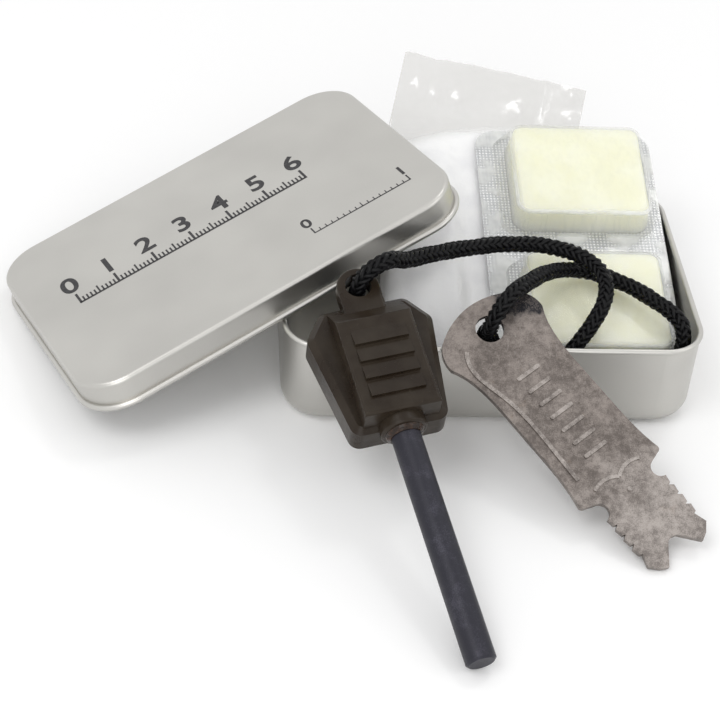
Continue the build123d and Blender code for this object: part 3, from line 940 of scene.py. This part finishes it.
@dataclass(frozen=True)
class TinAndLid:
    """The tin and its lid, with a plain measuring scale printed on the lid."""

    plate: MixedFinish = TINPLATE
    ink: MixedFinish = PRINTING_INK
    lid_origin: Point = (-0.0582583, 0.0082, 0.0189887)
    lid_along: Point = (0.855265, 0.413104, 0.312836)
    lid_across: Point = (-0.387965, 0.910684, -0.141909)
    lid_up: Point = (-0.343518, 0.0, 0.939146)
    lid_height: float = 0.00725
    ink_lift: float = 0.00001
    ink_thick: float = 0.00002
    type_steps: int = 6
    rules: tuple[Rule, ...] = (
        Rule((-0.0365, 0.0008), 0.010, 10, 6, 0.0086),
        Rule((0.0152, -0.0205), 0.0254, 16, 1, 0.0050),
    )

    def lid_matrix(self) -> Matrix:
        """Find the lid's own frame.

        Returns:
            The frame, on the lid's top face.
        """
        turn = Matrix((self.lid_along, self.lid_across, self.lid_up)).transposed()
        top = Vector(self.lid_origin) + Vector(self.lid_up) * (self.lid_height + self.ink_lift)
        return Matrix.Translation(top) @ turn.to_4x4()

    def mark(self, shape: bmesh.types.BMesh, place: Span, size: Span) -> None:
        """Print one upright or level line.

        Args:
            shape: The bmesh of the print.
            place: The line's middle on the lid.
            size: Its extent along and across the lid.
        """
        middle = Matrix.Translation((*place, self.ink_thick / 2))
        stretch = Matrix.Diagonal((*size, self.ink_thick, 1.0))
        bmesh.ops.create_cube(shape, size=1.0, matrix=middle @ stretch)

    def figure(self, shape: bmesh.types.BMesh, rule: Rule, text: str, place: Span) -> None:
        """Print a number.

        Args:
            shape: The bmesh of the print.
            rule: The scale that it belongs to.
            text: The digits.
            place: The middle of their foot on the lid.
        """
        data = bpy.data.curves.new("figure", "FONT")
        data.body = text
        data.size = rule.height
        data.align_x = "CENTER"
        data.offset = rule.height * rule.weight_share
        data.extrude = self.ink_thick / 2
        data.resolution_u = self.type_steps
        made = curve_mesh(data)
        made.transform(Matrix.Translation((*place, self.ink_thick / 2)))
        shape.from_mesh(made)
        bpy.data.meshes.remove(made)

    def print_rule(self, shape: bmesh.types.BMesh, rule: Rule) -> None:
        """Print a scale with numbers over its whole units.

        Args:
            shape: The bmesh of the print.
            rule: The scale.
        """
        left, foot = rule.start
        for step in range(rule.count * rule.parts + 1):
            width, reach = rule.tick(step)
            place = left + rule.unit * step / rule.parts
            self.mark(shape, (place, foot + reach / 2), (width, reach))
            if step % rule.parts == 0:
                over = (place, foot + rule.height * rule.figure_share)
                self.figure(shape, rule, str(step // rule.parts), over)
        line, _ = rule.tick(0)
        length = rule.unit * rule.count
        self.mark(shape, (left + length / 2, foot), (length + line, line))

    def build(self) -> None:
        """Dress the tin and print the lid."""
        dress(self.plate.make(), "tin_body", "tin_lid")
        shape = bmesh.new()
        for rule in self.rules:
            self.print_rule(shape, rule)
        bmesh.ops.transform(shape, matrix=self.lid_matrix(), verts=shape.verts)
        hold(mesh_piece("lid_scale", shape, self.ink.make(), smooth=False), Body.LID)


@dataclass(frozen=True)
class BagShape:
    """The form of the pouch, in the frame of the slope that it lies on."""

    origin: Point = (0.0, 0.031096, 0.023065)
    end_drop: float = 0.056466
    run: float = 0.072
    half_width: float = 0.020
    half_growth: float = 0.004
    middle_x: float = -0.007
    middle_drift: float = 0.0114
    pinch: float = 0.0026
    swell: float = 0.0044
    depth: float = 0.0076
    swell_x: float = -0.0026
    swell_fade: float = 0.0034
    header_mid: float = 0.0019
    header_half: float = 0.00018
    header_fade: float = 0.22
    header_left: Span = (-0.0134, 0.0275)
    header_right: Span = (0.0324, 0.0156)
    shares: tuple[tuple[float, float, float, float], ...] = (
        (0.0, 0.8, 0.0, 0.05),
        (0.07, 1.0, 0.0, 0.5),
        (0.3, 0.72, 0.0, 1.0),
        (0.56, 0.02, 0.0, 0.9),
        (0.7, 0.0, 0.0, 0.6),
        (0.9, 0.0, 0.18, 0.2),
        (1.0, 0.0, 0.41, 0.05),
    )

    def station(self, along: float) -> Point:
        """Read the shares at a place along the bag.

        Args:
            along: 0 at the closed end and 1 where the flat header starts.

        Returns:
            The shares of depth, lift and swelling.
        """
        for before, after in zip(self.shares, self.shares[1:]):
            if along <= after[0]:
                share = (along - before[0]) / (after[0] - before[0])
                return tuple(a + (b - a) * share for a, b in zip(before[1:], after[1:]))
        return self.shares[-1][1:]

    def point(self, along: float, across: float, high: float, inset: float) -> Vector:
        """A point of the pouch.

        Args:
            along: 0 at the closed end, 1 where the flat header starts and 2 at its edge.
            across: From -1 at the left to 1 at the right.
            high: From -1 on the underside to 1 on top.
            inset: How far inside the film it lies.

        Returns:
            The point in the row frame.
        """
        body = min(along, 1.0)
        half = self.half_width + self.half_growth * body - inset
        x = self.middle_x + self.middle_drift * body + across * half
        depth, lift, swelling = self.station(max(0.0, body))
        low = lift * self.pinch - depth * self.depth + inset
        swell = 1.0 - soft_step(x, self.swell_x - self.swell_fade, self.swell_x)
        top = self.pinch - inset + swelling * self.swell * swell
        middle, thick = (top + low) / 2, (top - low) / 2
        place = -self.end_drop + inset + body * (self.run - 2 * inset)
        if along > 1.0:
            beyond = along - 1.0
            left, right = self.header_left, self.header_right
            share = (across + 1.0) / 2
            x += (left[0] + (right[0] - left[0]) * share - x) * beyond
            place += (left[1] + (right[1] - left[1]) * share) * beyond
            fade = soft_step(beyond, 0.0, self.header_fade)
            middle += (self.header_mid - middle) * fade
            thick += (self.header_half - thick) * fade
        height = middle + high * thick
        level = Vector(self.origin) + Vector(SLOPE_RISE) * place
        return level + Vector(SLOPE_UP) * height + Vector((x, 0.0, 0.0))


@dataclass(frozen=True)
class Header:
    """The relief of the bag's flat header: a bow, two folds and small dents.

    Each fold has its place across and its height. Each dent has its place across, its place
    from the header's start to its cut edge, and its strength.
    """

    width: float = 0.047
    length: float = 0.022
    bow: float = 0.0003
    folds: tuple[Span, ...] = ((0.49, 0.0003), (0.76, 0.0004))
    fold_width: float = 0.02
    fold_slant: float = 0.02
    fold_fade: float = 0.5
    dents: tuple[Point, ...] = (
        (0.115, 0.57, 1.5),
        (0.21, 0.52, 1.6),
        (0.345, 0.48, 1.5),
        (0.675, 0.39, 1.5),
        (0.93, 0.82, 1.3),
        (0.95, 0.33, 1.0),
    )
    dent_depth: float = 0.00042
    dent_reach: Span = (0.0013, 0.0022)
    cut_waves: tuple[Point, ...] = ((9.0, 0.0, 1.0), (31.0, 5.0, 0.4))
    cut_depth: float = 0.0009
    cut_fade: int = 6

    def rise(self, across: float, beyond: float) -> float:
        """How far the flat header stands out of its plane.

        Args:
            across: From 0 at the left to 1 at the right.
            beyond: From 0 where it starts to 1 at its cut edge.

        Returns:
            The height in metres.
        """
        rise = self.bow * math.sin(math.pi * across) * beyond
        for place, height in self.folds:
            away = (across - place - self.fold_slant * beyond) / self.fold_width
            rise += height * math.exp(-(away**2)) * soft_step(beyond, 0.0, self.fold_fade)
        for place, reach, size in self.dents:
            side = (across - place) * self.width / self.dent_reach[0]
            up = (beyond - reach) * self.length / self.dent_reach[1]
            rise -= self.dent_depth * size * math.exp(-0.5 * (side * side + up * up))
        return rise

    def cut(self, across: float) -> float:
        """How far the uneven cut edge stands out at a place across, in metres."""
        rows = ((size, Vector((across * scale, row, 0.0))) for scale, row, size in self.cut_waves)
        return self.cut_depth * sum(size * noise.noise(place) for size, place in rows)


@dataclass(frozen=True)
class TinderBag:
    """The film pouch and the cotton wool in it."""

    shape: BagShape = BagShape()
    header: Header = Header()
    film: FilmFinish = FilmFinish()
    film_flat: Span = (0.096, 0.0936)
    film_cells: tuple[int, int] = (120, 150)
    film_inset: float = 0.00012
    film_header_share: float = 0.34
    film_seal: float = 0.06
    film_powers: Point = (0.6, 0.45, 0.5)
    film_weld: float = 0.000004
    crinkle_scale: float = 90.0
    crinkle_depth: float = 0.0006
    cotton: MixedFinish = COTTON_WOOL
    cotton_fill: float = 0.6
    pad_cuts: int = 47
    pad_inset: float = 0.0009
    pad_rim_powers: tuple[tuple[int, float], ...] = ((5, 0.25), (9, 0.3))
    pad_rim_height: float = 0.15
    pad_narrowing: tuple[tuple[float, int], ...] = ((0.12, 8), (0.30, 14))
    pad_bulge: tuple[float, int] = (0.05, 4)
    lump_scales: Span = (130.0, 330.0)
    lump_depth: float = 0.0006
    pad_smoothing: float = 0.5
    pad_smoothings: int = 2

    def film_piece(self) -> None:
        """Make the crinkled film, a flattened tube sealed at its lower end."""
        sheet = bmesh.new()
        columns, rows = self.film_cells
        bmesh.ops.create_grid(sheet, x_segments=columns, y_segments=rows, size=1.0)
        for vertex in sheet.verts:
            vertex.co = self.film_point(vertex.co.x, vertex.co.y)
        bmesh.ops.remove_doubles(sheet, verts=sheet.verts, dist=self.film_weld)
        bmesh.ops.recalc_face_normals(sheet, faces=sheet.faces)
        log.info("film area %.6f m2", sum(face.calc_area() for face in sheet.faces))
        piece = mesh_piece("bag_film_pouch", sheet, self.film.make())
        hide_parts("bag_film")
        hold(piece, Body.BAG)

    def film_point(self, u: float, v: float) -> Vector:
        """A point of the film.

        Args:
            u: From -1 to 1 once round the tube.
            v: From -1 at the sealed end to 1 at the cut edge.

        Returns:
            The point in the row frame.
        """
        up, rise = Vector(SLOPE_UP), Vector(SLOPE_RISE)
        side_power, top_power, seal_power = self.film_powers
        angle = math.pi * (u + 1.0)
        along = (v + 1.0) / 2 * (1.0 + self.film_header_share)
        along = along if along < 1.0 else 1.0 + (along - 1.0) / self.film_header_share
        across = signed_power(math.cos(angle), side_power)
        seal = min(1.0, along / self.film_seal) ** seal_power
        high = signed_power(math.sin(angle), top_power) * seal
        place = self.shape.point(along, across, high, self.film_inset)
        beyond = max(0.0, along - 1.0)
        if beyond > 0.0:
            share = (across + 1.0) / 2
            place += up * self.header.rise(share, beyond)
            place += rise * self.header.cut(share) * beyond**self.header.cut_fade
        else:
            crinkle = noise.noise(place * self.crinkle_scale)
            place -= up * high * abs(crinkle) * self.crinkle_depth
        return place

    def cotton_piece(self) -> None:
        """Make the cotton wool, a soft lumpy pad that fills the pouch."""
        pad = bmesh.new()
        bmesh.ops.create_cube(pad, size=2.0)
        bmesh.ops.subdivide_edges(pad, edges=pad.edges, cuts=self.pad_cuts, use_grid_fill=True)
        for vertex in pad.verts:
            vertex.co = self.cotton_point(*vertex.co)
        axes = {"use_axis_x": True, "use_axis_y": True, "use_axis_z": True}
        for _ in range(self.pad_smoothings):
            bmesh.ops.smooth_vert(pad, verts=pad.verts, factor=self.pad_smoothing, **axes)
        bmesh.ops.recalc_face_normals(pad, faces=pad.faces)
        piece = mesh_piece("cotton_wool_pad", pad, self.cotton.make())
        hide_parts("cotton_wool")
        hold(piece, Body.BAG)

    def cotton_point(self, x: float, y: float, z: float) -> Vector:
        """A point of the pad.

        Args:
            x: From -1 at the left to 1 at the right.
            y: From -1 at the closed end to 1 at the header.
            z: From -1 on the underside to 1 on top.

        Returns:
            The point in the row frame.
        """
        (x_power, x_root), (y_power, y_root) = self.pad_rim_powers
        (slight, slight_power), (strong, strong_power) = self.pad_narrowing
        bulge, bulge_power = self.pad_bulge
        rim = 0.0
        if max(abs(x), abs(y)) < 1.0:
            rim = (1.0 - abs(x) ** x_power) ** x_root * (1.0 - abs(y) ** y_power) ** y_root
        ahead = max(0.0, y)
        across = x * (1.0 - slight * abs(y) ** slight_power - strong * ahead**strong_power)
        along = (y + 1.0) / 2 + bulge * ahead**bulge_power
        high = z * (self.pad_rim_height + (1.0 - self.pad_rim_height) * rim)
        place = self.shape.point(along, across, high, self.pad_inset)
        lumps = sum(noise.noise(place * scale) for scale in self.lump_scales)
        return place - Vector(SLOPE_UP) * z * abs(lumps) * self.lump_depth * rim

    def build(self) -> None:
        """Make the pouch and what is in it."""
        self.cotton_piece()
        self.film_piece()


@dataclass(frozen=True)
class BlisterPack:
    """The clear tray, its foil backing and the two tinder blocks."""

    tray: ClearTrayFinish = ClearTrayFinish()
    foil: FoilFinish = FoilFinish()
    wax: MixedFinish = IVORY_TINDER

    def build(self) -> None:
        """Dress the blister."""
        dress(self.tray.make(), "blister_tray")
        dress(self.foil.make(), "foil_backing")
        dress(self.wax.make(), "tinder_block_rear", "tinder_block_front")


@dataclass(frozen=True)
class FireTools:
    """The fire steel and the striker."""

    moulding: MouldedFinish = MouldedFinish()
    rod: MixedFinish = FERROCERIUM
    glue: MixedFinish = BROWN_GLUE
    strip: WornSteelFinish = WornSteelFinish()

    def build(self) -> None:
        """Dress the fire steel and the striker."""
        dress(self.moulding.make(), "handle")
        dress(self.rod.make(), "ferro_rod")
        dress(self.glue.make(), "rod_adhesive")
        dress(self.strip.make(), "striker")


@dataclass(frozen=True)
class Lamp:
    """A soft square lamp."""

    name: str
    place: Point
    aim: Point
    size: float
    power: float

    def hang(self) -> None:
        """Put the lamp in the scene."""
        data = bpy.data.lights.new(self.name, "AREA")
        data.size = self.size
        data.energy = self.power
        lamp = bpy.data.objects.new(self.name, data)
        lamp.location = self.place
        away = Vector(self.place) - Vector(self.aim)
        lamp.rotation_euler = away.to_track_quat("Z", "Y").to_euler()
        bpy.context.scene.collection.objects.link(lamp)


@dataclass(frozen=True)
class Studio:
    """The camera at the photograph's place, a pale floor and soft light."""

    camera_place: Point = (-0.06751, -0.34464, 0.27713)
    looks_along: Point = (0.0910, 0.7685, -0.6334)
    roll: float = math.radians(4.98)
    lens: float = 93.06
    sensor: float = 36.0
    nearest: float = 0.01
    floor_size: float = 3.0
    floor_colour: Colour = (0.99, 0.99, 0.99, 1.0)
    floor_roughness: float = 0.9
    world_colour: Colour = (1.0, 1.0, 1.0, 1.0)
    world_strength: float = 0.74
    lamps: tuple[Lamp, ...] = (
        Lamp("key_lamp", (-0.45, -0.35, 0.85), (0.0, 0.0, 0.0), 0.45, 1.9),
        Lamp("fill_lamp", (0.75, -0.30, 0.60), (0.0, 0.0, 0.02), 0.60, 0.9),
        Lamp("top_lamp", (0.30, 0.33, 0.90), (0.0, 0.0, 0.0), 0.16, 0.6),
        Lamp("front_lamp", (-0.15, -0.95, 0.40), (0.0, 0.0, 0.01), 0.70, 2.4),
    )

    def camera(self) -> None:
        """Set the camera where the photograph was taken from."""
        ahead = Vector(self.looks_along).normalized()
        level = ahead.cross(Vector((0.0, 0.0, 1.0))).normalized()
        upright = level.cross(ahead)
        right = level * math.cos(self.roll) + upright * math.sin(self.roll)
        up = upright * math.cos(self.roll) - level * math.sin(self.roll)
        data = bpy.data.cameras.new("camera")
        data.lens = self.lens
        data.sensor_width = self.sensor
        data.clip_start = self.nearest
        taker = bpy.data.objects.new("camera", data)
        turn = Matrix((right, up, -ahead)).transposed()
        taker.matrix_world = Matrix.Translation(self.camera_place) @ turn.to_4x4()
        bpy.context.scene.collection.objects.link(taker)
        bpy.context.scene.camera = taker

    def floor(self) -> None:
        """Lay the floor."""
        shape = bmesh.new()
        bmesh.ops.create_grid(shape, x_segments=1, y_segments=1, size=self.floor_size)
        bench = Bench("pale_floor")
        bench.set(
            Base_Color=self.floor_colour,
            Roughness=self.floor_roughness,
            Specular_IOR_Level=0.0,
        )
        mesh_piece("floor", shape, bench.material, smooth=False)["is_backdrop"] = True

    def world(self) -> None:
        """Light the scene all round, and show white behind it, in reflections and through film."""
        world = bpy.data.worlds.new("studio")
        world.use_nodes = True
        bpy.context.scene.world = world
        board = Board(world.node_tree)
        camera, glossy, clear = (
            board.node("ShaderNodeLightPath", {}, {}, kind)
            for kind in ("Is Camera Ray", "Is Glossy Ray", "Is Transmission Ray")
        )
        seen = camera.most(glossy).most(clear)
        strength = self.world_strength + seen * (1.0 - self.world_strength)
        back = board.tree.nodes["Background"]
        board.feed(back.inputs["Color"], self.world_colour)
        board.feed(back.inputs["Strength"], strength)
        bpy.context.scene.view_settings.view_transform = "Standard"

    def build(self) -> None:
        """Set up the camera, the floor and the light."""
        self.camera()
        self.floor()
        self.world()
        for lamp in self.lamps:
            lamp.hang()


def main() -> None:
    """Build every piece in order and report them."""
    logging.basicConfig(level=logging.INFO)
    Studio().build()
    Lanyard().build()
    TinAndLid().build()
    FireTools().build()
    BlisterPack().build()
    TinderBag().build()
    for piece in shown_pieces():
        log.info("piece %s", piece.name)


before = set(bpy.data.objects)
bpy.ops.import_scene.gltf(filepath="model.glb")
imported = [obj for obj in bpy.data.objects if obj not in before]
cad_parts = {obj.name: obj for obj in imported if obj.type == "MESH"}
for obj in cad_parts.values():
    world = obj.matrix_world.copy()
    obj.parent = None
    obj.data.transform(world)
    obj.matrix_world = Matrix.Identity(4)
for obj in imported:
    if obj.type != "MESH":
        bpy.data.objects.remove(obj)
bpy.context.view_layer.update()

if __name__ == "__main__":
    main()
